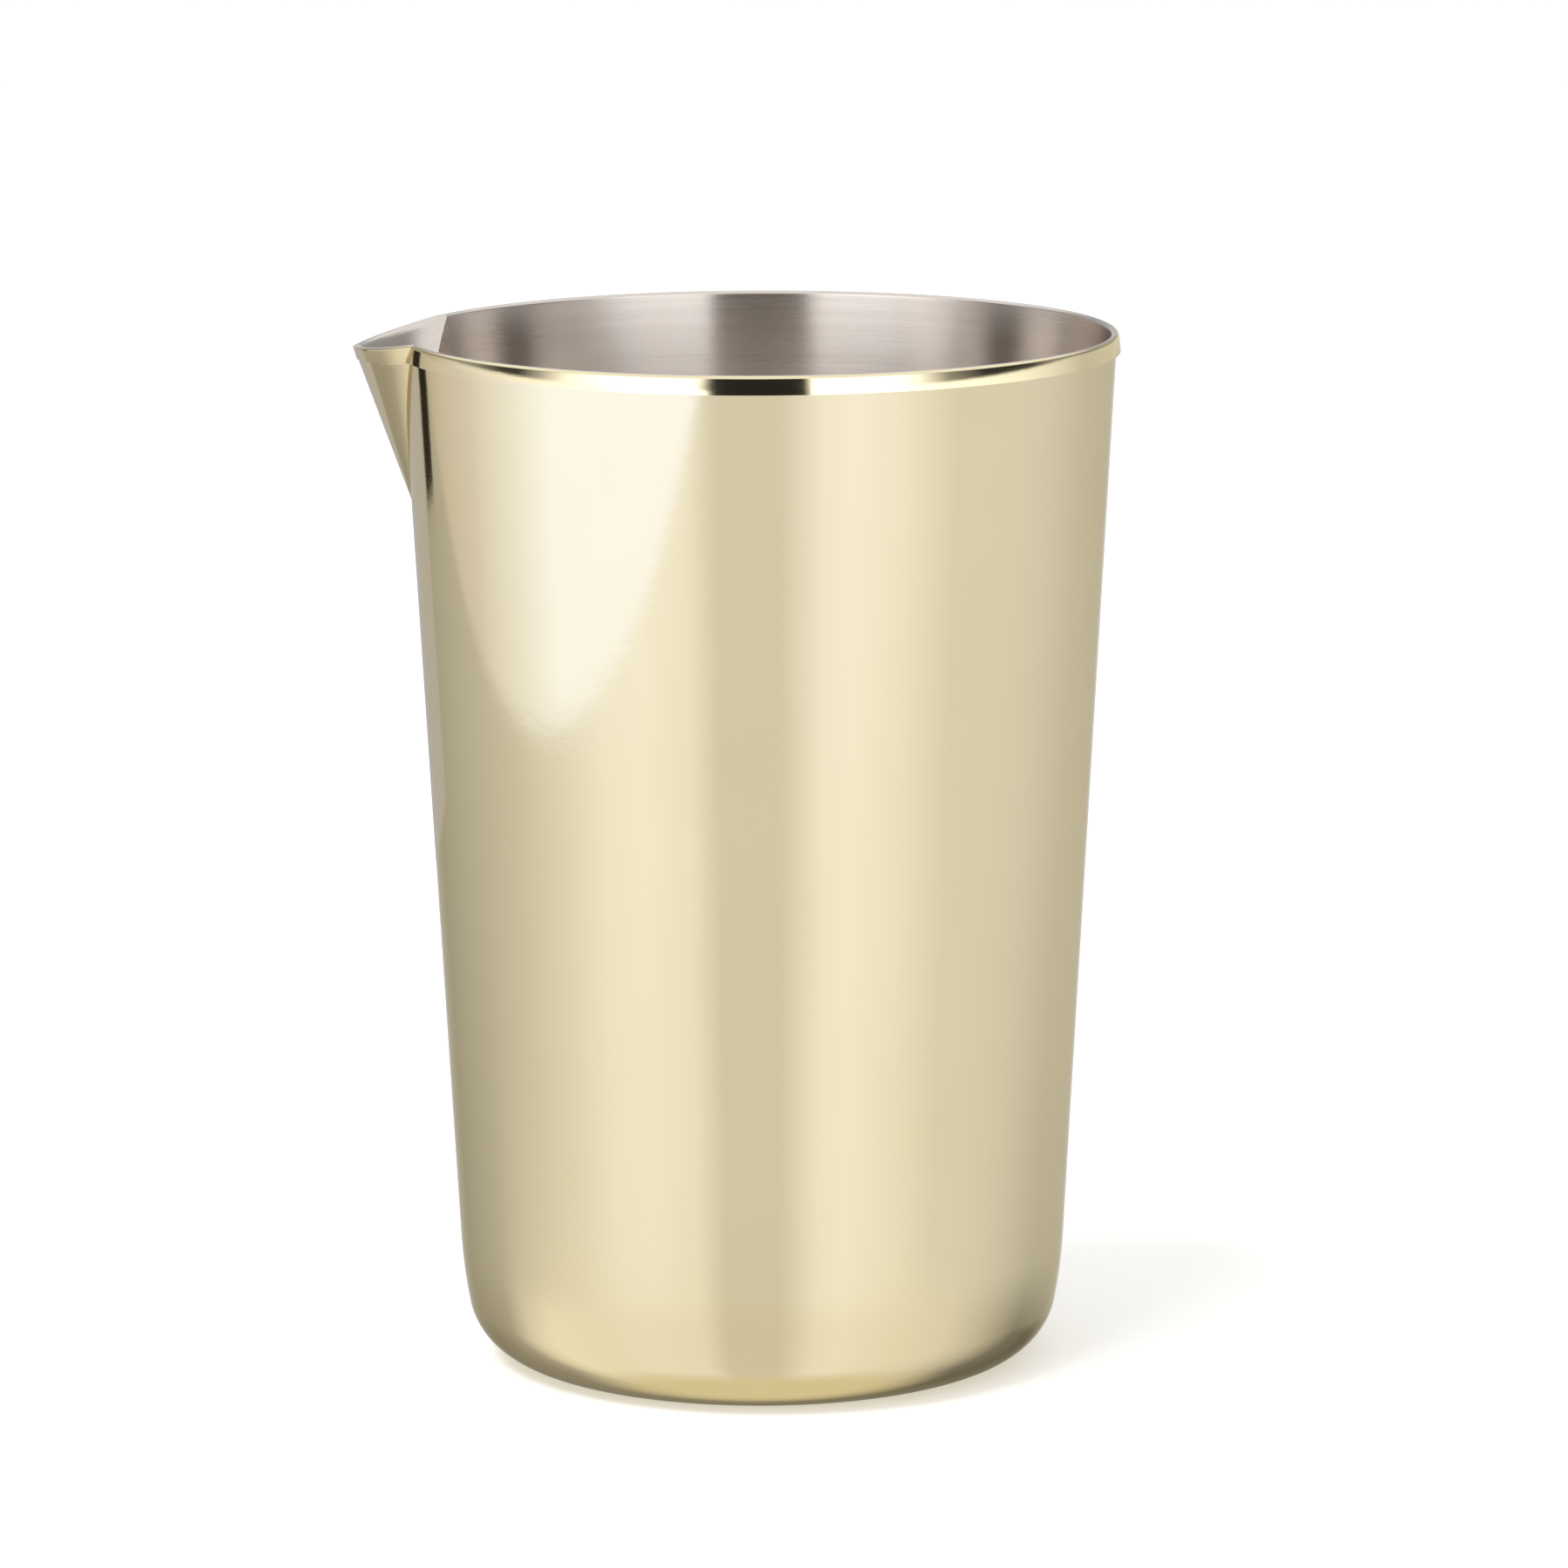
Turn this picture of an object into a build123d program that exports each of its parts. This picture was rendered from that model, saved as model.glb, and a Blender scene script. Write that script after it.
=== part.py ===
from build123d import *
import os
from math import cos, hypot, radians, sin, tan

# A bartender's stirring tin with a pour spout, in millimetres.
#
# Two deep-drawn steel cups stand one inside the other. The lip of the inner cup is folded over
# the top edge of the outer shell, and that fold is the bead of the rim. A V-shaped spout of two
# sheets is welded over a notch in both walls. A pressed disc closes the bottom of the shell.
#
# The origin is the centre of the foot, +Z is up, and the spout points along -X.

# Overall size
height = 130.0
rim_diameter = 90.0

# Sheets and the folded rim
sheet = 0.4
hem_gap = 0.05
hem_height = 2.4

# Outer wall: a cone that turns through a wide blend into the bottom corner
wall_lean = 3.17
blend_turn = 7.5
blend_radius = 65.0
corner_radius = 8.7

# Foot and base plate
foot_bore_radius = 25.5
foot_lip_height = 3.0
foot_bend_radius = 1.0
plate_gap = 0.05
plate_recess = 1.2
plate_bend_radius = 1.2
plate_crown = 0.5

# Inner cup: it touches the shell under the rim, then leans away from it
cup_lean = 4.5
cup_corner_radius = 12.0
cup_floor = 4.4

# Spout: its plan is a pointed arch, and it tapers to a point on the wall
spout_reach = 51.0
spout_drop = 2.1
crease_angle = 22.0
arch_rise = 1.8
spout_depth = 23.5
spout_root_sink = 0.3
notch_headroom = 5.0

# Worked out from the values above
lean_cosine = cos(radians(wall_lean))
wall_angle = 90 - wall_lean
corner_turn = wall_angle - blend_turn
fold_radius = (3 * sheet + hem_gap) / 2
shell_top = height - fold_radius - 2 * hem_gap
hem_face = sheet + hem_gap


def turn_height(radius, start, end):
    """Height gained on an arc that steepens from start to end degrees above level."""
    return radius * (cos(radians(start)) - cos(radians(end)))


def turn_reach(radius, start, end):
    """Distance travelled outward on the same arc."""
    return radius * (sin(radians(end)) - sin(radians(start)))


def wall_radius(level, inset=0.0):
    """Radius at a level of the shell's outer cone, or of that cone moved inward by inset."""
    below_fold = height - fold_radius - level
    return rim_diameter / 2 - below_fold * tan(radians(wall_lean)) - (hem_face + inset) / lean_cosine


def cone_fill(inset):
    """Everything inside the outer cone moved inward by inset, from below the spout to above the rim."""
    low = height - spout_depth - 10
    high = height + 10
    with BuildPart() as fill:
        with Locations((0, 0, low)):
            Cone(wall_radius(low, inset), wall_radius(high, inset), high - low,
                 align=(Align.CENTER, Align.CENTER, Align.MIN))
    return fill.part


# The plane of the spout's lip holds both creases at the rim and the tip, and slopes down to the tip.
crease_x = wall_radius(height, -hem_face) * cos(radians(crease_angle))
crease_y = wall_radius(height, -hem_face) * sin(radians(crease_angle))
lip_run = spout_reach - crease_x
lip_length = hypot(lip_run, spout_drop)
lip_plane = Plane(
    origin=(-spout_reach, 0, height - spout_drop),
    x_dir=(lip_run, 0, spout_drop),
    z_dir=(-spout_drop, 0, lip_run),
)


def spout_fill(inset, headroom=0.0):
    """Everything inside the spout's outer face moved inward by inset, from the lip down to its root.

    headroom carries the same outline on above the lip, for cutting a notch through the rim.
    """
    past_wall = 12.0
    root_level = height - spout_depth
    root_x = wall_radius(root_level) - spout_root_sink - inset
    with BuildSketch(lip_plane) as mouth:
        with BuildLine():
            near_side = SagittaArc((lip_length, -crease_y), (0, 0), arch_rise)
            far_side = SagittaArc((0, 0), (lip_length, crease_y), arch_rise)
            Polyline(
                far_side @ 1,
                (lip_length + past_wall, crease_y),
                (lip_length + past_wall, -crease_y),
                near_side @ 0,
            )
        make_face()
        offset(amount=-(inset + hem_face), kind=Kind.INTERSECTION)
    with BuildPart() as fill:
        loft([mouth.sketch.face(), Vertex(-root_x, 0, root_level)], ruled=True)
        if headroom:
            extrude(mouth.sketch, amount=headroom)
    return fill.part


# Base plate: a crowned disc with an upturned edge, welded inside the foot of the shell
with BuildPart() as base_plate:
    with BuildSketch(Plane.XZ):
        with BuildLine():
            skirt_radius = foot_bore_radius - plate_gap
            disc_edge = (skirt_radius - plate_bend_radius, plate_recess)
            crown = ThreePointArc(
                (0, plate_recess + plate_crown),
                (disc_edge[0] / 2, plate_recess + 0.75 * plate_crown),
                disc_edge,
            )
            bend = JernArc(crown @ 1, (1, 0), plate_bend_radius, 90)
            Line(bend @ 1, (skirt_radius, foot_lip_height))
            offset(amount=sheet, side=Side.LEFT)
        make_face()
    revolve(axis=Axis.Z)

# Spout liner: the inner sheet of the spout, with its lip folded over the skin's top edge
with BuildPart() as spout_liner:
    add(spout_fill(sheet))
    add(spout_fill(2 * sheet), mode=Mode.SUBTRACT)
    add(cone_fill(sheet), mode=Mode.SUBTRACT)

with BuildPart() as lip_leg:
    add(spout_fill(-hem_face))
    add(spout_fill(-hem_gap), mode=Mode.SUBTRACT)
    add(cone_fill(0), mode=Mode.SUBTRACT)
    split(bisect_by=lip_plane.offset(-hem_height), keep=Keep.TOP)

with BuildPart() as lip_fold:
    add(spout_fill(-hem_face))
    add(spout_fill(2 * sheet), mode=Mode.SUBTRACT)
    add(cone_fill(2 * sheet), mode=Mode.SUBTRACT)
    split(bisect_by=lip_plane.offset(-sheet), keep=Keep.TOP)

with spout_liner:
    add(lip_leg.part)
    add(lip_fold.part)
    split(bisect_by=Plane.XY.offset(height), keep=Keep.BOTTOM)

# Spout skin: the outer sheet, tucked up into the folded lip
with BuildPart() as spout_skin:
    add(spout_fill(0))
    add(spout_fill(sheet), mode=Mode.SUBTRACT)
    add(cone_fill(0), mode=Mode.SUBTRACT)
    split(bisect_by=lip_plane.offset(-fold_radius), keep=Keep.BOTTOM)

# Outer shell: foot, bottom corner, blend and cone, notched for the spout
with BuildPart() as outer_shell:
    corner_rise = turn_height(corner_radius, 0, corner_turn)
    blend_rise = turn_height(blend_radius, corner_turn, wall_angle)
    wall_start = corner_rise + blend_rise
    foot_radius = (
        wall_radius(wall_start)
        - turn_reach(corner_radius, 0, corner_turn)
        - turn_reach(blend_radius, corner_turn, wall_angle)
    )
    with BuildSketch(Plane.XZ):
        with BuildLine():
            lip = Line((foot_bore_radius, foot_lip_height), (foot_bore_radius, foot_bend_radius))
            bend = JernArc(lip @ 1, lip % 1, foot_bend_radius, 90)
            foot = Line(bend @ 1, (foot_radius, 0))
            corner = JernArc(foot @ 1, foot % 1, corner_radius, corner_turn)
            blend = JernArc(corner @ 1, corner % 1, blend_radius, blend_turn)
            Line(blend @ 1, (wall_radius(shell_top), shell_top))
            offset(amount=sheet, side=Side.LEFT)
        make_face()
    revolve(axis=Axis.Z)
    add(spout_fill(sheet, notch_headroom), mode=Mode.SUBTRACT)

# Inner cup: floor, corner, wall and the folded rim, drawn along the face that shows
with BuildPart() as inner_cup:
    cup_angle = 90 - cup_lean
    fold_start = height - fold_radius * (1 - sin(radians(cup_lean)))
    cup_wall_rise = fold_start - cup_floor - turn_height(cup_corner_radius, 0, cup_angle)
    floor_radius = (
        wall_radius(fold_start, 2 * sheet)
        - cup_wall_rise * tan(radians(cup_lean))
        - turn_reach(cup_corner_radius, 0, cup_angle)
    )
    with BuildSketch(Plane.XZ):
        with BuildLine():
            floor = Line((0, cup_floor), (floor_radius, cup_floor))
            corner = JernArc(floor @ 1, floor % 1, cup_corner_radius, cup_angle)
            wall = Line(corner @ 1, (wall_radius(fold_start, 2 * sheet), fold_start))
            fold = JernArc(wall @ 1, wall % 1, fold_radius, cup_lean - wall_lean - 180)
            PolarLine(fold @ 1, hem_height - fold_radius, direction=fold % 1)
            offset(amount=sheet, side=Side.RIGHT)
        make_face()
    revolve(axis=Axis.Z)
    add(spout_fill(2 * sheet, notch_headroom), mode=Mode.SUBTRACT)

# The bead of the rim stops at the creases, where the spout's own folded lip takes over.
with BuildPart() as bead_notch:
    add(spout_fill(-hem_face, notch_headroom))
    add(cone_fill(sheet), mode=Mode.SUBTRACT)

with inner_cup:
    add(bead_notch.part, mode=Mode.SUBTRACT)
    add(spout_liner.part, mode=Mode.SUBTRACT)

# Write one file for each piece.
os.makedirs("parts", exist_ok=True)

inner_cup.part.label = "inner_cup"
export_step(inner_cup.part, "parts/inner_cup.step")

outer_shell.part.label = "outer_shell"
export_step(outer_shell.part, "parts/outer_shell.step")

base_plate.part.label = "base_plate"
export_step(base_plate.part, "parts/base_plate.step")

spout_skin.part.label = "spout_skin"
export_step(spout_skin.part, "parts/spout_skin.step")

spout_liner.part.label = "spout_liner"
export_step(spout_liner.part, "parts/spout_liner.step")
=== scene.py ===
"""A gold stirring tin with a pour spout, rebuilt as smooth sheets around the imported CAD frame.

Lengths are written in millimetres, as in the CAD, and become metres when a mesh or light is made.
The foot's centre is the origin, +Z is up and the spout points along -X.
"""

from math import asin, atan2, cos, degrees, hypot, pi, radians, sin, tan

import bmesh
import bpy
from mathutils import Matrix, Vector


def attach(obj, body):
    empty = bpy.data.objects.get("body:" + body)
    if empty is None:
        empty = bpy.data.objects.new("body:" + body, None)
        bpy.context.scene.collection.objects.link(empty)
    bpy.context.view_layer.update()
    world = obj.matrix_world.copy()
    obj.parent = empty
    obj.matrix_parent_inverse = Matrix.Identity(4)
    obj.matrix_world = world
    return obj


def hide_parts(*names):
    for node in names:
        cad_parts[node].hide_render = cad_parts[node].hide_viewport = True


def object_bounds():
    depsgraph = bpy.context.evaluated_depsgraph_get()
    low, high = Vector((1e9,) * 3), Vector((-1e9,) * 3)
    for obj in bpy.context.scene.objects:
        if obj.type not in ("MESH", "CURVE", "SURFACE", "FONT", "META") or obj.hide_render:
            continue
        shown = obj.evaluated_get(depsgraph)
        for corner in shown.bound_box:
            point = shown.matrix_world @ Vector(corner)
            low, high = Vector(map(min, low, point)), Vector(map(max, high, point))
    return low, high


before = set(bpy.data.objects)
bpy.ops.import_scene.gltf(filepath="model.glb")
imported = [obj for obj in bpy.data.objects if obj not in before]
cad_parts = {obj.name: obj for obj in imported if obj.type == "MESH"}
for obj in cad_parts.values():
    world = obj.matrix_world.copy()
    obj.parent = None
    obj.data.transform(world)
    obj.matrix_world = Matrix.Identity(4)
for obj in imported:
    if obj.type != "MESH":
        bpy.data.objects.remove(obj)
cad_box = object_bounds()
MM = 0.001
MICRON = 0.000001

# Overall size, read from the frame
height = cad_box[1].z / MM
rim_radius = cad_box[1].y / MM
spout_reach = -cad_box[0].x / MM

# Sheets and the folded rim. The gold band below the fold bulges: it leans out by band_lean at its top, and
# by band_turn less at its foot. Towards the spout's tip the fold and the lean shrink to tip_share of this.
# Rows of the fold whose normal points outward by more than gold_edge are gold.
sheet = 0.4
hem_gap = 0.05
hem_face = sheet + hem_gap
fold_width = 3 * sheet + hem_gap
inner_bend = 0.5
outer_bend = 0.5
band_lean = 10.0
band_turn = 6.0
band_length = 1.9
tip_share = 0.4
gold_edge = 0.45

# The skin of the spout swells by tip_swell at the tip, so that it is nearly flush with the fold there. A
# higher swell_power keeps the swelling closer to the tip.
tip_swell = 0.3
swell_power = 3

# Outer wall, foot and base plate
wall_lean = 3.17
blend_turn = 7.5
blend_radius = 65.0
corner_radius = 8.7
corner_turn = 90 - wall_lean - blend_turn
foot_bore_radius = 25.5
foot_lip_height = 3.0
foot_bend_radius = 1.0
shell_top = height - fold_width / 2 - 2 * hem_gap
plate_radius = foot_bore_radius - hem_gap
plate_recess = 1.2
plate_bend_radius = 1.2
plate_crown = 0.5

# Inner cup
cup_lean = 4.5
cup_corner_radius = 12.0
cup_floor = 4.4
fold_start = height - inner_bend * (1 - sin(radians(cup_lean)))

# Spout
spout_drop = 2.1
crease_angle = radians(22.0)
arch_rise = 1.8
spout_depth = 23.5
spout_root_sink = 0.3
root_level = height - spout_depth

# How finely the sheets are divided. Steps along a line are in millimetres and turn_step is in degrees.
columns = 256
spout_columns = 64
spout_rows = 40
fine_step = 0.5
coarse_step = 6.0
turn_step = 4.0
fewest_turn_steps = 4

# How often solve halves its range, to how many digits points of a mesh have to agree to be joined, and the
# angle in degrees from which an edge is drawn sharp
halvings = 40
weld_digits = 5
sharp_angle = 35.0


# ---- Shape of the walls and the spout ------------------------------------------------------------

def wall_radius(level, inset=0.0):
    """Radius of the shell's outer cone at a level, moved inward by inset."""
    fall = (height - fold_width / 2 - level) * tan(radians(wall_lean))
    return rim_radius - fall - (hem_face + inset) / cos(radians(wall_lean))


def bead_radius(inset):
    """Radius of the rim's bead, at that inset from the outer face of the shell."""
    return rim_radius - hem_face - inset


def cup_radius(level):
    """Radius of the inner cup's bare wall at a level."""
    return bead_radius(2 * sheet) - (fold_start - level) * tan(radians(cup_lean))


def radius_of(point):
    """Distance of a point from the axis."""
    return hypot(point.x, point.y)


def solve(value, low, high):
    """The place between low and high at which value turns from positive to negative."""
    for _ in range(halvings):
        middle = (low + high) / 2
        if value(middle) > 0:
            low = middle
        else:
            high = middle
    return (low + high) / 2


# Half of the spout's plan is an arc from the tip to the crease. On the sloping plane of the lip, u runs
# from the tip towards the cup and v runs sideways. The arc runs on sideways by past_crease, so that it
# crosses every wall.
crease_x = wall_radius(height, -hem_face) * cos(crease_angle)
crease_y = wall_radius(height, -hem_face) * sin(crease_angle)
lip_run = spout_reach - crease_x
lip_length = hypot(lip_run, spout_drop)
lip_chord = hypot(lip_length, crease_y)
arch_radius = lip_chord ** 2 / (8 * arch_rise) + arch_rise / 2
centre_u = lip_length / 2 + (arch_radius - arch_rise) * crease_y / lip_chord
centre_v = crease_y / 2 - (arch_radius - arch_rise) * lip_length / lip_chord
past_crease = 6.0
last_angle = asin((crease_y + past_crease - centre_v) / arch_radius)
lip_normal = Vector((-spout_drop, 0, lip_run)).normalized()


def tip_angle(inset):
    """Angle on the arc at which the outline, moved inward by inset, meets the middle of the spout."""
    return asin(-centre_v / (arch_radius - hem_face - inset))


def lip_point(inset, angle):
    """Point of the outline on the plane of the lip. The angle grows from the tip towards the crease."""
    radius = arch_radius - hem_face - inset
    share = (centre_u - radius * cos(angle)) / lip_length
    v = centre_v + radius * sin(angle)
    return Vector((share * lip_run - spout_reach, v, height + (share - 1) * spout_drop))


def spout_root(inset):
    """The point on the wall at which the straight lines down the spout's side meet."""
    wall = wall_radius(root_level) - inset
    if inset >= 2 * sheet:
        wall = cup_radius(root_level)
    return Vector((spout_root_sink - wall, 0, root_level))


def side_point(inset, angle, share, swell=0.0):
    """Point on the spout's side: share 0 is on the plane of the lip and share 1 is the root.

    swell moves it outward on the plane of the lip, and less and less on the way to the root.
    """
    top = lip_point(inset - swell, angle)
    return top + (spout_root(inset) - top) * share


def depth_share(inset, depth):
    """Share at which the spout's side is that depth below the plane of the lip."""
    return depth / (lip_point(inset, 0) - spout_root(inset)).dot(lip_normal)


def notch_angle(inset, radius, level):
    """Half of the angle, seen from the axis, that the spout takes out of a wall at that radius and level."""
    if level <= root_level:
        return 0.0
    root = spout_root(inset)

    def edge(angle):
        top = lip_point(inset, angle)
        return root + (top - root) * (level - root.z) / (top.z - root.z)

    def outside(angle):
        return radius_of(edge(angle)) - radius

    if outside(tip_angle(inset)) < 0:
        return 0.0
    corner = edge(solve(outside, tip_angle(inset), last_angle))
    return atan2(corner.y, -corner.x)


# ---- Sheets as meshes ----------------------------------------------------------------------------

def bent_path(start, heading, steps, side):
    """Rows (radius, level, radial normal, vertical normal) along lines and arcs.

    The heading is in degrees above outward. A step is ("line", length, spacing) or
    ("turn", radius, degrees). The normal points to the given side: 1 is left of the heading and -1 is
    right of it.
    """
    radius, level = start
    angle = radians(heading)
    rows = [(radius, level, -side * sin(angle), side * cos(angle))]
    for kind, size, detail in steps:
        if kind == "line":
            count = max(1, round(size / detail))
            travel = size / count
            turn = 0.0
        else:
            count = max(fewest_turn_steps, round(abs(detail) / turn_step))
            turn = radians(detail) / count
            travel = 2 * size * sin(abs(turn) / 2)
        for _ in range(count):
            radius += travel * cos(angle + turn / 2)
            level += travel * sin(angle + turn / 2)
            angle += turn
            rows.append((radius, level, -side * sin(angle), side * cos(angle)))
    return rows


def revolve(rows, notches):
    """Front and back rows of points for a path turned about the axis, open by each row's notch."""
    front, back = [], []
    for (radius, level, out, up), half in zip(rows, notches):
        turns = [half + (2 * pi - 2 * half) * k / columns for k in range(columns + 1)]
        front.append([(-radius * cos(a), -radius * sin(a), level) for a in turns])
        inner, low = radius - sheet * out, level - sheet * up
        back.append([(-inner * cos(a), -inner * sin(a), low) for a in turns])
    return front, back


def sheet_patches(front, back, paint):
    """Patches that close a sheet: its front and back faces and all its edges, with material numbers."""
    last = len(front) - 1
    for i in range(last):
        for k in range(len(front[i]) - 1):
            yield (front[i][k], front[i][k + 1], front[i + 1][k + 1], front[i + 1][k]), paint(i)
            yield (back[i + 1][k], back[i + 1][k + 1], back[i][k + 1], back[i][k]), 0
    for i in (0, last):
        for k in range(len(front[i]) - 1):
            yield (front[i][k], front[i][k + 1], back[i][k + 1], back[i][k]), 0
    for k in (0, -1):
        for i in range(last):
            yield (front[i][k], front[i + 1][k], back[i + 1][k], back[i][k]), 0


def weld(patches):
    """Joins equal points of the patches. Gives the vertices in metres, and (corners, material) per face.

    A patch with fewer than three different corners is dropped. Two patches with the same corners lie back
    to back, so both go.
    """
    places, vertices, faces = {}, [], {}
    for points, material in patches:
        corners = []
        for point in points:
            key = tuple(round(x, weld_digits) for x in point)
            if key not in places:
                places[key] = len(vertices)
                vertices.append([x * MM for x in point])
            if places[key] not in corners:
                corners.append(places[key])
        outline = frozenset(corners)
        if outline in faces:
            del faces[outline]
        elif len(corners) > 2:
            faces[outline] = (corners, material)
    return vertices, list(faces.values())


def add_object(name, data):
    """A new object in the scene."""
    thing = bpy.data.objects.new(name, data)
    bpy.context.scene.collection.objects.link(thing)
    return thing


def sheet_mesh(name, front, back, materials, paint=lambda row: 0):
    """A closed sheet between two faces, each given as rows of points of equal length.

    paint gives the number of the material for a row of the front face.
    """
    vertices, faces = weld(sheet_patches(front, back, paint))
    mesh = bpy.data.meshes.new(name)
    mesh.from_pydata(vertices, [], [corners for corners, _ in faces])
    for material in materials:
        mesh.materials.append(material)
    mesh.polygons.foreach_set("material_index", [number for _, number in faces])
    tidy_normals(mesh)
    return add_object(name, mesh)


def tidy_normals(mesh):
    """Turns all faces outward, and shades smoothly except across the cut edges of the sheet."""
    work = bmesh.new()
    work.from_mesh(mesh)
    bmesh.ops.recalc_face_normals(work, faces=work.faces)
    work.to_mesh(mesh)
    work.free()
    mesh.shade_smooth()
    mesh.set_sharp_from_angle(angle=radians(sharp_angle))


def install(piece, node):
    """Lets a piece stand for its CAD node."""
    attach(piece, "root")
    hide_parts(node)


# ---- Materials -----------------------------------------------------------------------------------

# Two near shades of each metal, its roughness from smoothest to roughest, and the depth of its marks. The
# glancing shade tints what the gold mirrors at a flat angle.
gold_shades = ((0.925, 0.815, 0.545), (0.94, 0.83, 0.565))
gold_glancing_shade = (0.93, 0.87, 0.72)
gold_roughness = (0.05, 0.1)
gold_grain_depth = 0.6 * MICRON
gold_ripple_depth = 3.5 * MICRON
gold_wave_depth = 12 * MICRON
steel_shades = ((0.75, 0.685, 0.625), (0.79, 0.725, 0.665))
steel_roughness = (0.17, 0.32)
steel_band_depth = 4 * MICRON
steel_scratch_depth = 3 * MICRON

# How far scratches smear reflections, and a quarter of a turn, which lays the smear across the scratches
steel_anisotropy = 0.85
steel_smear_turn = 0.25

# The range of a noise in which its values mostly lie, over which the two shades are spread
noise_middle = (0.3, 0.7)


def new_material(name):
    """A material with nodes. Gives it with its node tree and its main shader."""
    material = bpy.data.materials.new(name)
    material.use_nodes = True
    tree = material.node_tree
    return material, tree, tree.nodes["Principled BSDF"]


def math_node(tree, operation, *values):
    """A Math node. Each value is a number or a socket."""
    node = tree.nodes.new("ShaderNodeMath")
    node.operation = operation
    for socket, value in zip(node.inputs, values):
        if isinstance(value, (int, float)):
            socket.default_value = value
        else:
            tree.links.new(value, socket)
    return node.outputs[0]


def brush_space(tree, along, across):
    """Coordinates that are stretched round the axis, for marks left by a tool on a turning cup.

    along and across are how many marks go into a metre, round the axis and across the marks.
    """
    place = tree.nodes.new("ShaderNodeTexCoord")
    split = tree.nodes.new("ShaderNodeSeparateXYZ")
    tree.links.new(place.outputs["Object"], split.inputs[0])
    x, y, z = split.outputs
    squares = math_node(tree, "ADD", math_node(tree, "MULTIPLY", x, x), math_node(tree, "MULTIPLY", y, y))
    travel = math_node(tree, "ADD", math_node(tree, "SQRT", squares), z)
    join = tree.nodes.new("ShaderNodeCombineXYZ")
    tree.links.new(math_node(tree, "MULTIPLY", x, along), join.inputs[0])
    tree.links.new(math_node(tree, "MULTIPLY", y, along), join.inputs[1])
    tree.links.new(math_node(tree, "MULTIPLY", travel, across), join.inputs[2])
    return join.outputs[0]


def noise(tree, space, scale, detail=2.0):
    """Noise between 0 and 1 in the given coordinates."""
    node = tree.nodes.new("ShaderNodeTexNoise")
    tree.links.new(space, node.inputs["Vector"])
    node.inputs["Scale"].default_value = scale
    node.inputs["Detail"].default_value = detail
    return node.outputs["Fac"]


def between(tree, amount, low, high):
    """The amount, from 0 to 1, spread from low to high."""
    node = tree.nodes.new("ShaderNodeMapRange")
    tree.links.new(amount, node.inputs["Value"])
    node.inputs["To Min"].default_value = low
    node.inputs["To Max"].default_value = high
    return node.outputs["Result"]


def colour_ramp(tree, amount, shades):
    """Colour by an amount from 0 to 1, from a rising list of (amount, colour)."""
    node = tree.nodes.new("ShaderNodeValToRGB")
    stops = node.color_ramp.elements
    for stop, (position, _) in zip(stops, shades):
        stop.position = position
    for position, _ in shades[2:]:
        stops.new(position)
    for stop, (_, colour) in zip(stops, shades):
        stop.color = (*colour, 1)
    tree.links.new(amount, node.inputs[0])
    return node.outputs[0]


def tint(tree, shader, amount, shades):
    """Base colour that wanders between two near shades with a noise."""
    ramp = colour_ramp(tree, amount, list(zip(noise_middle, shades)))
    tree.links.new(ramp, shader.inputs["Base Color"])


def relief(tree, shader, heights):
    """Bump from several height fields, each with its depth in metres."""
    normal = None
    for field, depth in heights:
        bump = tree.nodes.new("ShaderNodeBump")
        bump.inputs["Distance"].default_value = depth
        tree.links.new(field, bump.inputs["Height"])
        if normal:
            tree.links.new(normal, bump.inputs["Normal"])
        normal = bump.outputs[0]
    tree.links.new(normal, shader.inputs["Normal"])


def polished_gold():
    """Pale gold plating over polished steel: a near mirror with a faint grain and soft waves."""
    material, tree, shader = new_material("polished_gold")
    place = tree.nodes.new("ShaderNodeTexCoord").outputs["Object"]
    grain = noise(tree, brush_space(tree, along=400, across=9000), scale=1.0, detail=3.0)
    waves = noise(tree, place, scale=45.0)
    ripples = noise(tree, place, scale=600.0)
    tint(tree, shader, waves, gold_shades)
    tree.links.new(between(tree, grain, *gold_roughness), shader.inputs["Roughness"])
    shader.inputs["Metallic"].default_value = 1.0
    shader.inputs["Specular Tint"].default_value = (*gold_glancing_shade, 1)
    relief(tree, shader, [(grain, gold_grain_depth), (ripples, gold_ripple_depth), (waves, gold_wave_depth)])
    return material


def brushed_steel():
    """Stainless steel brushed round the axis: long fine scratches that smear reflections up and down."""
    material, tree, shader = new_material("brushed_steel")
    scratches = noise(tree, brush_space(tree, along=60, across=9000), scale=1.0, detail=4.0)
    bands = noise(tree, brush_space(tree, along=12, across=700), scale=1.0, detail=2.0)
    tint(tree, shader, bands, steel_shades)
    tree.links.new(between(tree, scratches, *steel_roughness), shader.inputs["Roughness"])
    shader.inputs["Metallic"].default_value = 1.0
    shader.inputs["Anisotropic"].default_value = steel_anisotropy
    shader.inputs["Anisotropic Rotation"].default_value = steel_smear_turn
    tangent = tree.nodes.new("ShaderNodeTangent")
    tangent.axis = "Z"
    tree.links.new(tangent.outputs[0], shader.inputs["Tangent"])
    relief(tree, shader, [(bands, steel_band_depth), (scratches, steel_scratch_depth)])
    return material


# ---- The five pieces -----------------------------------------------------------------------------

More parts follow.
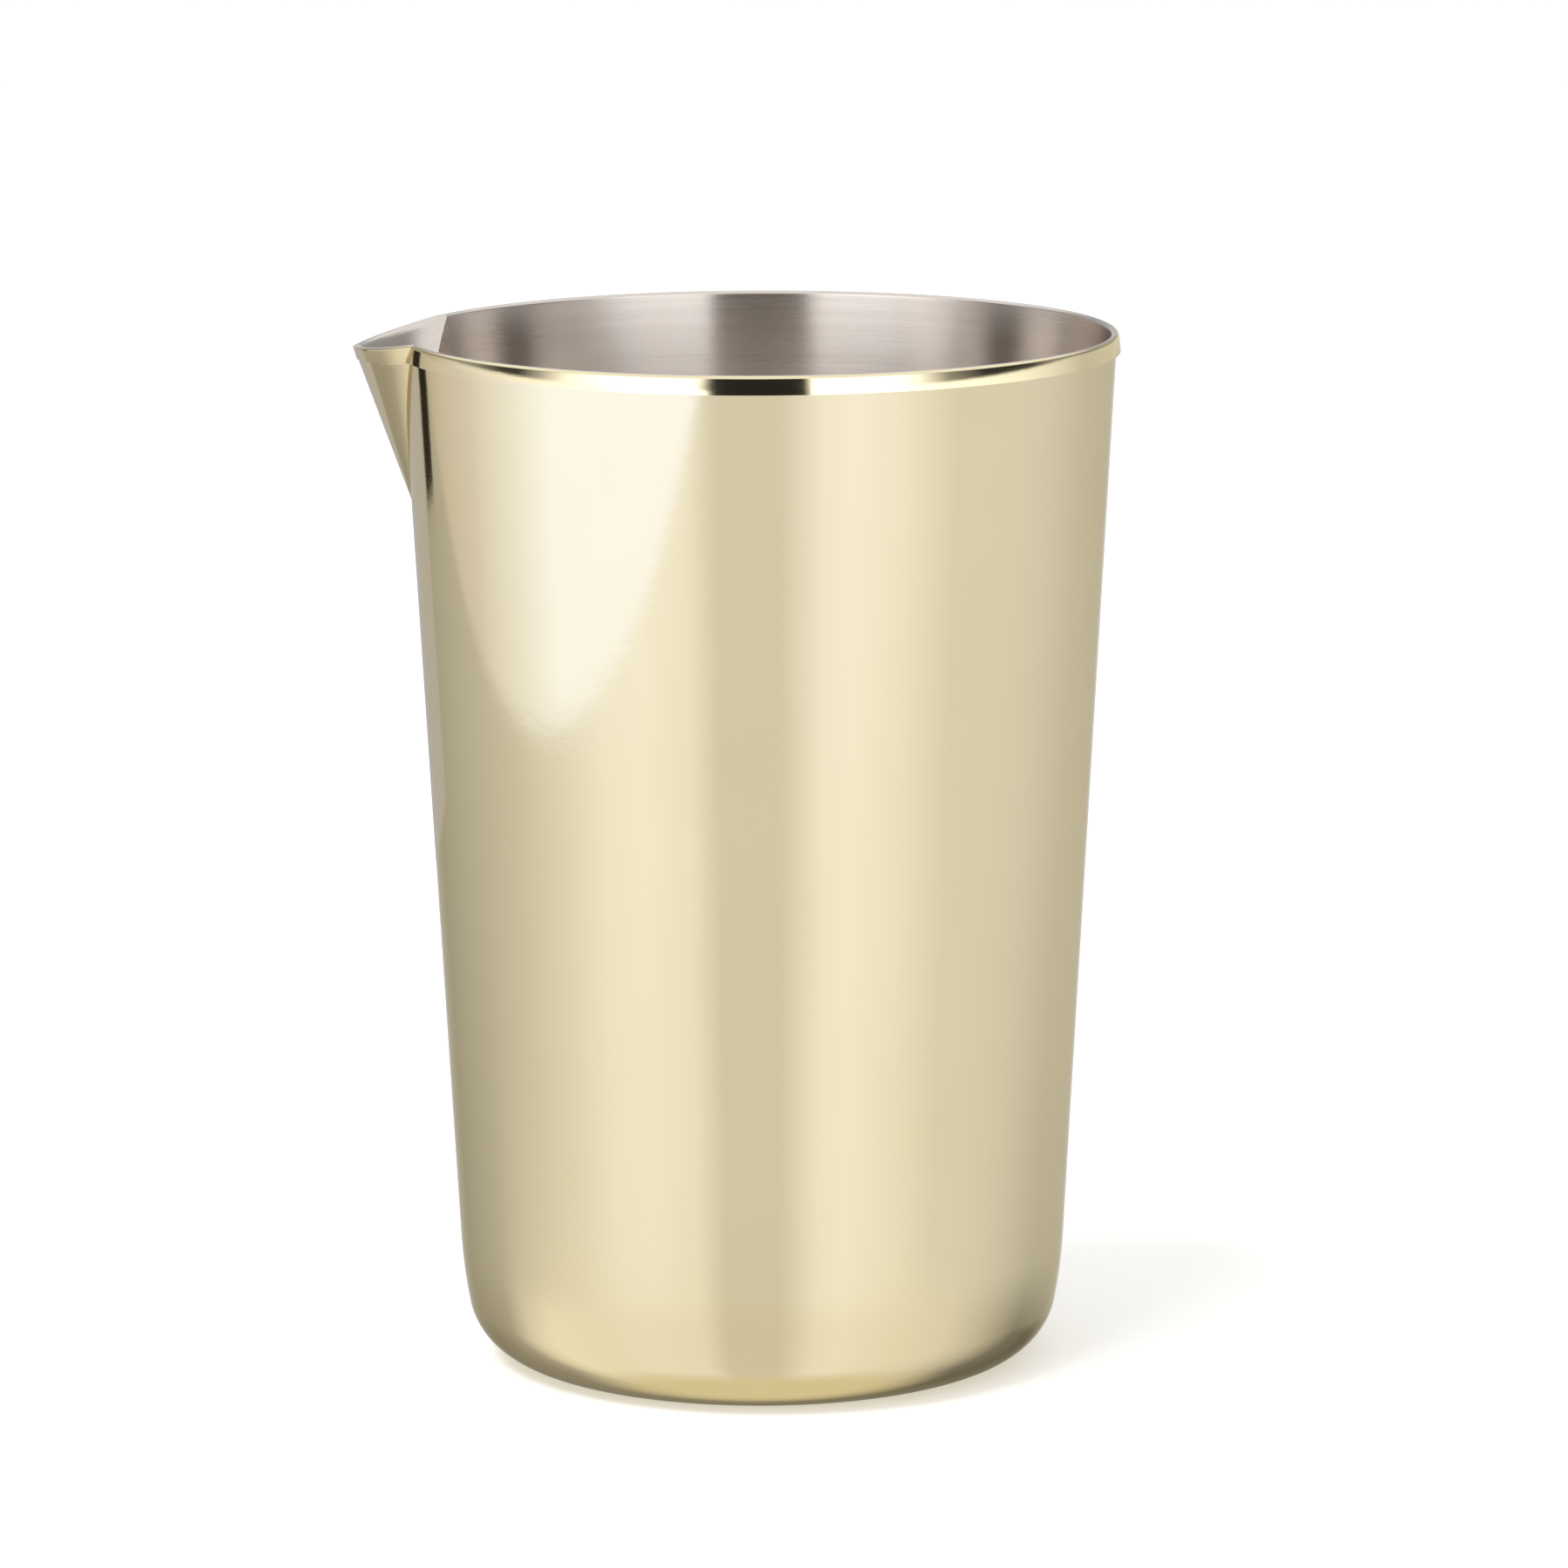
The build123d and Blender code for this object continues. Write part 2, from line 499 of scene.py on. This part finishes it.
def bead_rows(share=1.0):
    """The folded bead, from the cup's wall over the top and down its band.

    A row is (inset, depth, normal out, normal up), and its depth is below the top of the rim. share shrinks
    the outer half of the fold and the lean.
    """
    bend = share * outer_bend
    lean = share * band_lean
    turn = share * band_turn
    travel = band_length * sin(radians(lean - turn / 2))
    top = fold_width - travel - inner_bend * cos(radians(cup_lean)) - bend * cos(radians(lean))
    rows = bent_path((0.0, fold_start - height), 90 - cup_lean, [
        ("turn", inner_bend, cup_lean - 90),
        ("line", top, top),
        ("turn", bend, lean - 90),
        ("turn", band_length / radians(turn), -turn),
    ], 1)
    return [(2 * sheet - out, -up, normal_out, normal_up) for out, up, normal_out, normal_up in rows]


def outer_shell(gold):
    """Foot, bottom corner, blend and cone, notched for the spout."""
    corner_rise = corner_radius * (1 - cos(radians(corner_turn)))
    blend_rise = blend_radius * (cos(radians(corner_turn)) - sin(radians(wall_lean)))
    corner_reach = corner_radius * sin(radians(corner_turn))
    blend_reach = blend_radius * (cos(radians(wall_lean)) - sin(radians(corner_turn)))
    wall_start = corner_rise + blend_rise
    foot_radius = wall_radius(wall_start) - corner_reach - blend_reach
    slant = 1 / cos(radians(wall_lean))
    rows = bent_path((foot_bore_radius, foot_lip_height), -90, [
        ("line", foot_lip_height - foot_bend_radius, fine_step),
        ("turn", foot_bend_radius, 90),
        ("line", foot_radius - foot_bore_radius - foot_bend_radius, fine_step),
        ("turn", corner_radius, corner_turn),
        ("turn", blend_radius, blend_turn),
        ("line", (root_level - wall_start) * slant, coarse_step),
        ("line", (shell_top - root_level) * slant, fine_step),
    ], -1)
    notches = [notch_angle(sheet, radius, level) for radius, level, _, _ in rows]
    piece = sheet_mesh("shell_wall", *revolve(rows, notches), [gold])
    install(piece, "outer_shell")


def base_plate(gold):
    """A crowned disc with an upturned edge, seen only from below."""
    disc_radius = plate_radius - plate_bend_radius
    crown_radius = (disc_radius ** 2 + plate_crown ** 2) / (2 * plate_crown)
    slope = degrees(2 * atan2(plate_crown, disc_radius))
    rows = bent_path((0, plate_recess + plate_crown), 0, [
        ("turn", crown_radius, -slope),
        ("turn", plate_bend_radius, 90 + slope),
        ("line", foot_lip_height - plate_recess - plate_bend_radius, fine_step),
    ], -1)
    piece = sheet_mesh("foot_plate", *revolve(rows, [0.0] * len(rows)), [gold])
    install(piece, "base_plate")


def inner_cup(steel, gold):
    """Floor, corner, wall and the folded bead, whose outer band is gold."""
    cup_angle = radians(90 - cup_lean)
    corner_top = cup_floor + cup_corner_radius * (1 - cos(cup_angle))
    floor_radius = cup_radius(corner_top) - cup_corner_radius * sin(cup_angle)
    slant = 1 / cos(radians(cup_lean))
    wall = bent_path((0, cup_floor), 0, [
        ("line", floor_radius, coarse_step),
        ("turn", cup_corner_radius, 90 - cup_lean),
        ("line", (root_level - corner_top) * slant, coarse_step),
        ("line", (fold_start - root_level) * slant, fine_step),
    ], 1)
    notches = [notch_angle(2 * sheet, radius, level) for radius, level, _, _ in wall]
    rows = wall[:-1]
    notches.pop()
    for inset, depth, out, up in bead_rows():
        rows.append((bead_radius(inset), height - depth, out, up))
        notches.append(notch_angle(inset, bead_radius(inset), height - depth))
    piece = sheet_mesh("cup_and_bead", *revolve(rows, notches), [steel, gold],
                       lambda row: int(rows[row][2] > gold_edge))
    install(piece, "inner_cup")


def side_rows(inset, depth, limit, most_swell=0.0):
    """Rows down both sides of the spout, from a depth below the lip to where they meet a wall.

    most_swell is how much the sides swell at the tip. The swelling dies away towards the creases.
    """
    top = depth_share(inset, depth)
    end = lip_end(inset, depth)
    rows = [[] for _ in range(spout_rows + 1)]
    for k in range(-spout_columns, spout_columns + 1):
        along = abs(k) / spout_columns
        swell = most_swell * (1 - along) ** swell_power
        middle = tip_angle(inset - swell)
        angle = middle + along * (end - middle)

        def outside(share):
            point = side_point(inset, angle, share, swell)
            return radius_of(point) - limit(point.z)

        bottom = solve(outside, top, 1.0)
        for i, row in enumerate(rows):
            place = side_point(inset, angle, top + (bottom - top) * i / spout_rows, swell)
            row.append(mirrored(place, k))
    return rows


def lip_end(inset, depth):
    """Angle on the arc at which the lip, at that inset and depth, meets the bead of the rim."""
    share = depth_share(inset, depth)

    def outside(angle):
        return radius_of(side_point(inset, angle, share)) - bead_radius(inset)

    return solve(outside, tip_angle(inset), last_angle)


def mirrored(point, k):
    """The point on the near side for a negative column and on the far side for a positive one."""
    return (point.x, point.y if k >= 0 else -point.y, point.z)


def lip_rows(number):
    """Front and back rows round the lip of the spout for one row of the bead.

    The fold grows sharper and the band straighter towards the tip. The lip stays below the level of the rim.
    """
    front, back = [], []
    for k in range(-spout_columns, spout_columns + 1):
        share = abs(k) / spout_columns
        growth = tip_share + (1 - tip_share) * share
        inset, depth, out, up = bead_rows(growth)[number]
        thickness = sheet * growth
        for row, place, drop in ((front, inset, depth),
                                 (back, inset + thickness * out, depth + thickness * up)):
            end = lip_end(place, drop)
            angle = tip_angle(place) + share * (end - tip_angle(place))
            point = side_point(place, angle, depth_share(place, drop))
            point.z = min(point.z, height - drop)
            row.append(mirrored(point, k))
    return front, back


def spout_liner(steel, gold):
    """The spout's inner sheet, with its lip folded over the top edge of the skin."""
    bead = bead_rows()
    start = bead[0][1]
    front = side_rows(2 * sheet, start, cup_radius)[::-1]
    back = side_rows(sheet, start, lambda level: wall_radius(level, 2 * sheet))[::-1]
    first_fold = len(front) - 1
    for number in range(1, len(bead)):
        front_row, back_row = lip_rows(number)
        front.append(front_row)
        back.append(back_row)
    piece = sheet_mesh("spout_lining", front, back, [steel, gold],
                       lambda row: int(row >= first_fold and bead[row - first_fold][2] > gold_edge))
    install(piece, "spout_liner")


def spout_skin(gold):
    """The spout's outer sheet, tucked up into the folded lip."""
    front = side_rows(0.0, fold_width / 2, wall_radius, tip_swell)
    back = side_rows(sheet, fold_width / 2, wall_radius, tip_swell)
    piece = sheet_mesh("spout_cover", front, back, [gold])
    install(piece, "spout_skin")


# ---- Studio --------------------------------------------------------------------------------------

# The camera's place, as degrees round from the front and above level, and its distance from the middle of
# the tin. The roll, and a shift as a share of the frame, set the tin in the frame as in the photo.
camera_azimuth = 4.3
camera_elevation = 10.6
camera_distance = 986.8
camera_roll = -0.2
camera_shift = (0.0148, 0.0389)
lens_length = 180.0
sensor_width = 36.0
nearest_seen = 10.0


def toward(left, elevation=0.0):
    """Direction that many degrees to the left of the camera, seen from the camera, and above level."""
    azimuth = radians(camera_azimuth - left)
    level = cos(radians(elevation))
    return Vector((sin(azimuth) * level, -cos(azimuth) * level, sin(radians(elevation))))


def make_camera():
    """A long lens that looks slightly down at the tin."""
    data = bpy.data.cameras.new("camera")
    data.lens = lens_length
    data.sensor_width = sensor_width
    data.shift_x, data.shift_y = camera_shift
    data.clip_start = nearest_seen * MM
    camera = add_object("camera", data)
    back = toward(0.0, camera_elevation)
    middle = Vector((0, 0, height / 2))
    camera.location = (middle + back * camera_distance) * MM
    roll = Matrix.Rotation(radians(camera_roll), 4, "Z")
    camera.rotation_euler = ((-back).to_track_quat("-Z", "Y").to_matrix().to_4x4() @ roll).to_euler()
    bpy.context.scene.camera = camera


def smooth_step(tree, value, low, high):
    """0 below low, 1 above high, with a soft turn between them."""
    node = tree.nodes.new("ShaderNodeMapRange")
    node.interpolation_type = "SMOOTHSTEP"
    tree.links.new(value, node.inputs["Value"])
    node.inputs["From Min"].default_value = low
    node.inputs["From Max"].default_value = high
    return node.outputs["Result"]


def height_step(tree, z, fade):
    """0 below and 1 above a pair of elevations in degrees, for the height z of a direction."""
    return smooth_step(tree, z, sin(radians(fade[0])), sin(radians(fade[1])))


def band_ramp(tree, turn, bands):
    """Colour by turn round the tin, from a list of (degrees left of the camera, brightness, coolness)."""
    shades = []
    for left, brightness, cool in bands:
        colour = (brightness, brightness * (1 + green_share * cool), brightness * (1 + cool))
        shades.append((left / 360 + 0.5, colour))
    return colour_ramp(tree, turn, shades)


def mix_colour(tree, amount, first, second):
    """The first colour at amount 0 and the second at amount 1."""
    node = tree.nodes.new("ShaderNodeMix")
    node.data_type = "RGBA"
    tree.links.new(amount, node.inputs["Factor"])
    for name, value in (("A", first), ("B", second)):
        socket = next(s for s in node.inputs if s.name == name and s.type == "RGBA")
        if isinstance(value, tuple):
            socket.default_value = (*value, 1)
        else:
            tree.links.new(value, socket)
    return next(s for s in node.outputs if s.type == "RGBA")


# What the tin mirrors all round, from the table close by up to the ceiling. The sweep is the bright strip
# where the table rises into the wall, and above it stand soft boxes with dark gaps. The entries of each
# list are (degrees left of the camera, brightness, coolness). The first and the last are the same, because
# both lie straight behind the tin.
under_foot = (0.70, 0.655, 0.49)
near_table = [
    (-180, 0.25, -0.1), (-150, 0.15, -0.1), (-125, 0.2, -0.1), (-100, 0.55, -0.1), (-80, 0.75, -0.1),
    (-60, 0.82, -0.1), (-31, 0.9, -0.05), (-21, 0.86, -0.05), (-7, 0.67, -0.12), (14, 0.67, -0.12),
    (24, 0.84, -0.05), (45, 0.88, -0.05), (73, 0.86, -0.1), (94, 0.9, -0.1), (108, 0.75, -0.1),
    (122, 0.4, -0.1), (140, 0.3, -0.1), (180, 0.25, -0.1),
]
far_table = [
    (-180, 0.9, 0.15), (-164, 0.56, 0.05), (-130, 0.60, 0.02), (-108, 0.69, 0.03), (-92, 0.74, 0.0),
    (-68, 0.745, 0.0), (-48, 0.92, 0.05), (-31, 1.0, 0.12), (-21, 0.96, 0.1), (-7, 0.71, 0.0),
    (14, 0.71, 0.0), (24, 0.92, 0.04), (40, 0.99, 0.1), (55, 0.95, 0.08), (73, 0.77, 0.0),
    (94, 0.6, -0.05), (116, 0.52, 0.0), (152, 0.4, 0.02), (165, 0.48, 0.05), (180, 0.9, 0.15),
]
sweep = [
    (-180, 0.8, 0.0), (-125, 0.6, 0.0), (-90, 1.1, 0.0), (-60, 1.4, 0.0), (-46, 1.7, 0.05),
    (-17, 1.9, 0.05), (-15, 0.02, 0.0), (15, 0.02, 0.0), (17, 1.9, 0.05), (44, 1.7, 0.05),
    (70, 1.2, 0.0), (110, 0.75, 0.0), (128, 0.5, -0.1), (150, 0.5, 0.0), (180, 0.8, 0.0),
]
room = [
    (-180, 0.5, 0.0), (-130, 0.3, 0.0), (-108, 0.3, 0.0), (-96, 0.05, 0.0), (-76, 0.03, 0.0),
    (-62, 0.3, 0.0), (-46, 1.7, 0.05), (-17, 1.9, 0.05), (-15, 0.02, 0.0), (15, 0.02, 0.0),
    (21, 1.9, 0.05), (46, 1.9, 0.05), (62, 1.3, 0.0), (74, 0.4, 0.0), (82, 0.04, 0.0),
    (90, 0.05, 0.0), (104, 0.3, 0.0), (130, 0.3, 0.0), (180, 0.5, 0.0),
]
ceiling = (0.95, 0.95, 0.95)

# Heights, in degrees above level, between which one of these fades into the next
near_fade = (-75, -48)
far_fade = (-28, -12)
sweep_fade = (-7, -4)
room_fade = (3, 5)
ceiling_fade = (19, 34)

# Coolness raises blue in full and green by this share.
green_share = 0.3

# The plain backdrop that only the camera sees
backdrop = (1.0, 1.0, 1.0)

# The height of the cards that stand close to the tin, and their colours from one end to the other, each with
# its distance beside the middle line of the card
card_height = 135.0
white_shades = [
    (-470, (1.07, 1.15, 1.45)), (-19, (1.06, 1.13, 1.4)), (96, (0.89, 0.92, 1.0)),
    (252, (0.7, 0.68, 0.7)), (620, (0.55, 0.52, 0.5)), (700, (0.55, 0.52, 0.5)),
]
black_shades = [(-39, (0.02, 0.015, 0.01)), (39, (0.02, 0.015, 0.01))]
grey_shades = [(-136, (0.5, 0.51, 0.59)), (120, (0.5, 0.51, 0.59))]

# The floor is a disc. It fades out between two shares of its radius, and glows a little to stay pale.
floor_radius = 2600.0
floor_sides = 96
floor_fade = (0.25, 0.95)
floor_shade = (0.9, 0.9, 0.9)
floor_glow = 0.25

# The key light's place, as degrees left of the camera and above level, and its size and power
key_left = 50.0
key_elevation = 62.0
key_distance = 1100.0
key_size = 700.0
key_watts = 9.0


def turn_round(tree, x, y):
    """Turn round the tin of a direction, from 0 to 1: it is 0.5 at the camera and grows to its left."""

    def along(axis):
        parts = [math_node(tree, "MULTIPLY", value, amount) for value, amount in ((x, axis.x), (y, axis.y))]
        return math_node(tree, "ADD", *parts)

    angle = math_node(tree, "ARCTAN2", along(toward(90.0)), along(toward(0.0)))
    return math_node(tree, "ADD", math_node(tree, "DIVIDE", angle, 2 * pi), 0.5)


def make_world():
    """The studio as the tin mirrors it. The camera itself sees only a plain pale backdrop."""
    world = bpy.data.worlds.new("studio")
    world.use_nodes = True
    tree = world.node_tree
    background = tree.nodes["Background"]
    split = tree.nodes.new("ShaderNodeSeparateXYZ")
    tree.links.new(tree.nodes.new("ShaderNodeTexCoord").outputs["Generated"], split.inputs[0])
    x, y, z = split.outputs
    turn = turn_round(tree, x, y)
    studio = under_foot
    layers = [(near_fade, near_table), (far_fade, far_table), (sweep_fade, sweep), (room_fade, room)]
    for fade, bands in layers:
        studio = mix_colour(tree, height_step(tree, z, fade), studio, band_ramp(tree, turn, bands))
    studio = mix_colour(tree, height_step(tree, z, ceiling_fade), studio, ceiling)
    path = tree.nodes.new("ShaderNodeLightPath")
    shown = mix_colour(tree, path.outputs["Is Camera Ray"], studio, backdrop)
    tree.links.new(shown, background.inputs["Color"])
    bpy.context.scene.world = world


def pale_floor():
    """A dull pale material that fades out with distance and can't be seen from below."""
    material, tree, shader = new_material("pale_floor")
    shader.inputs["Base Color"].default_value = (*floor_shade, 1)
    shader.inputs["Roughness"].default_value = 1.0
    shader.inputs["Specular IOR Level"].default_value = 0.0
    shader.inputs["Emission Color"].default_value = (1, 1, 1, 1)
    shader.inputs["Emission Strength"].default_value = floor_glow
    place = tree.nodes.new("ShaderNodeTexCoord")
    length = tree.nodes.new("ShaderNodeVectorMath")
    length.operation = "LENGTH"
    tree.links.new(place.outputs["Object"], length.inputs[0])
    start, end = [floor_radius * MM * share for share in floor_fade]
    fade = smooth_step(tree, length.outputs["Value"], start, end)
    facing = tree.nodes.new("ShaderNodeNewGeometry").outputs["Backfacing"]
    mix = tree.nodes.new("ShaderNodeMixShader")
    tree.links.new(math_node(tree, "MAXIMUM", fade, facing), mix.inputs[0])
    tree.links.new(shader.outputs[0], mix.inputs[1])
    tree.links.new(tree.nodes.new("ShaderNodeBsdfTransparent").outputs[0], mix.inputs[2])
    tree.links.new(mix.outputs[0], tree.nodes["Material Output"].inputs["Surface"])
    return material


def make_floor():
    """A pale floor that runs out into the backdrop. The tin does not mirror it."""
    mesh = bpy.data.meshes.new("floor")
    work = bmesh.new()
    bmesh.ops.create_circle(work, cap_ends=True, segments=floor_sides, radius=floor_radius * MM)
    work.to_mesh(mesh)
    work.free()
    mesh.materials.append(pale_floor())
    floor = add_object("floor", mesh)
    floor.visible_glossy = False


def glowing_card(name, shades):
    """A material that glows in the given shades across a card, in place of its main shader."""
    start, end = shades[0][0], shades[-1][0]
    material, tree, _ = new_material(name)
    glow = tree.nodes.new("ShaderNodeEmission")
    split = tree.nodes.new("ShaderNodeSeparateXYZ")
    tree.links.new(tree.nodes.new("ShaderNodeTexCoord").outputs["Generated"], split.inputs[0])
    stops = [((beside - start) / (end - start), colour) for beside, colour in shades]
    tree.links.new(colour_ramp(tree, split.outputs[1], stops), glow.inputs["Color"])
    tree.links.new(glow.outputs[0], tree.nodes["Material Output"].inputs["Surface"])
    return material


def reflector(name, left, distance, shades):
    """An upright card on the table, facing the tin, which only mirrors see.

    Its middle line is at that distance, to the left of the camera.
    """
    foot = toward(left) * distance
    beside = toward(left + 90)
    corners = [foot + beside * shades[0][0], foot + beside * shades[-1][0]]
    corners += [corner + Vector((0, 0, card_height)) for corner in reversed(corners)]
    mesh = bpy.data.meshes.new(name)
    mesh.from_pydata([corner * MM for corner in corners], [], [(0, 1, 2, 3)])
    mesh.materials.append(glowing_card(name, shades))
    card = add_object(name, mesh)
    card.visible_camera = False
    card.visible_diffuse = False
    card.visible_shadow = False


def make_key_light():
    """A large soft box above and to the left, for the soft shadow at the foot."""
    data = bpy.data.lights.new("key", "AREA")
    data.shape = "DISK"
    data.size = key_size * MM
    data.energy = key_watts
    light = add_object("key", data)
    light.visible_glossy = False
    way = toward(key_left, key_elevation)
    light.location = way * key_distance * MM
    light.rotation_euler = way.to_track_quat("Z", "Y").to_euler()


gold = polished_gold()
steel = brushed_steel()
outer_shell(gold)
base_plate(gold)
inner_cup(steel, gold)
spout_skin(gold)
spout_liner(steel, gold)

make_world()
make_floor()
reflector("white_card", left=70, distance=360, shades=white_shades)
reflector("black_flag", left=136, distance=640, shades=black_shades)
reflector("grey_card", left=160, distance=330, shades=grey_shades)
make_key_light()
make_camera()
bpy.context.scene.view_settings.view_transform = "Standard"
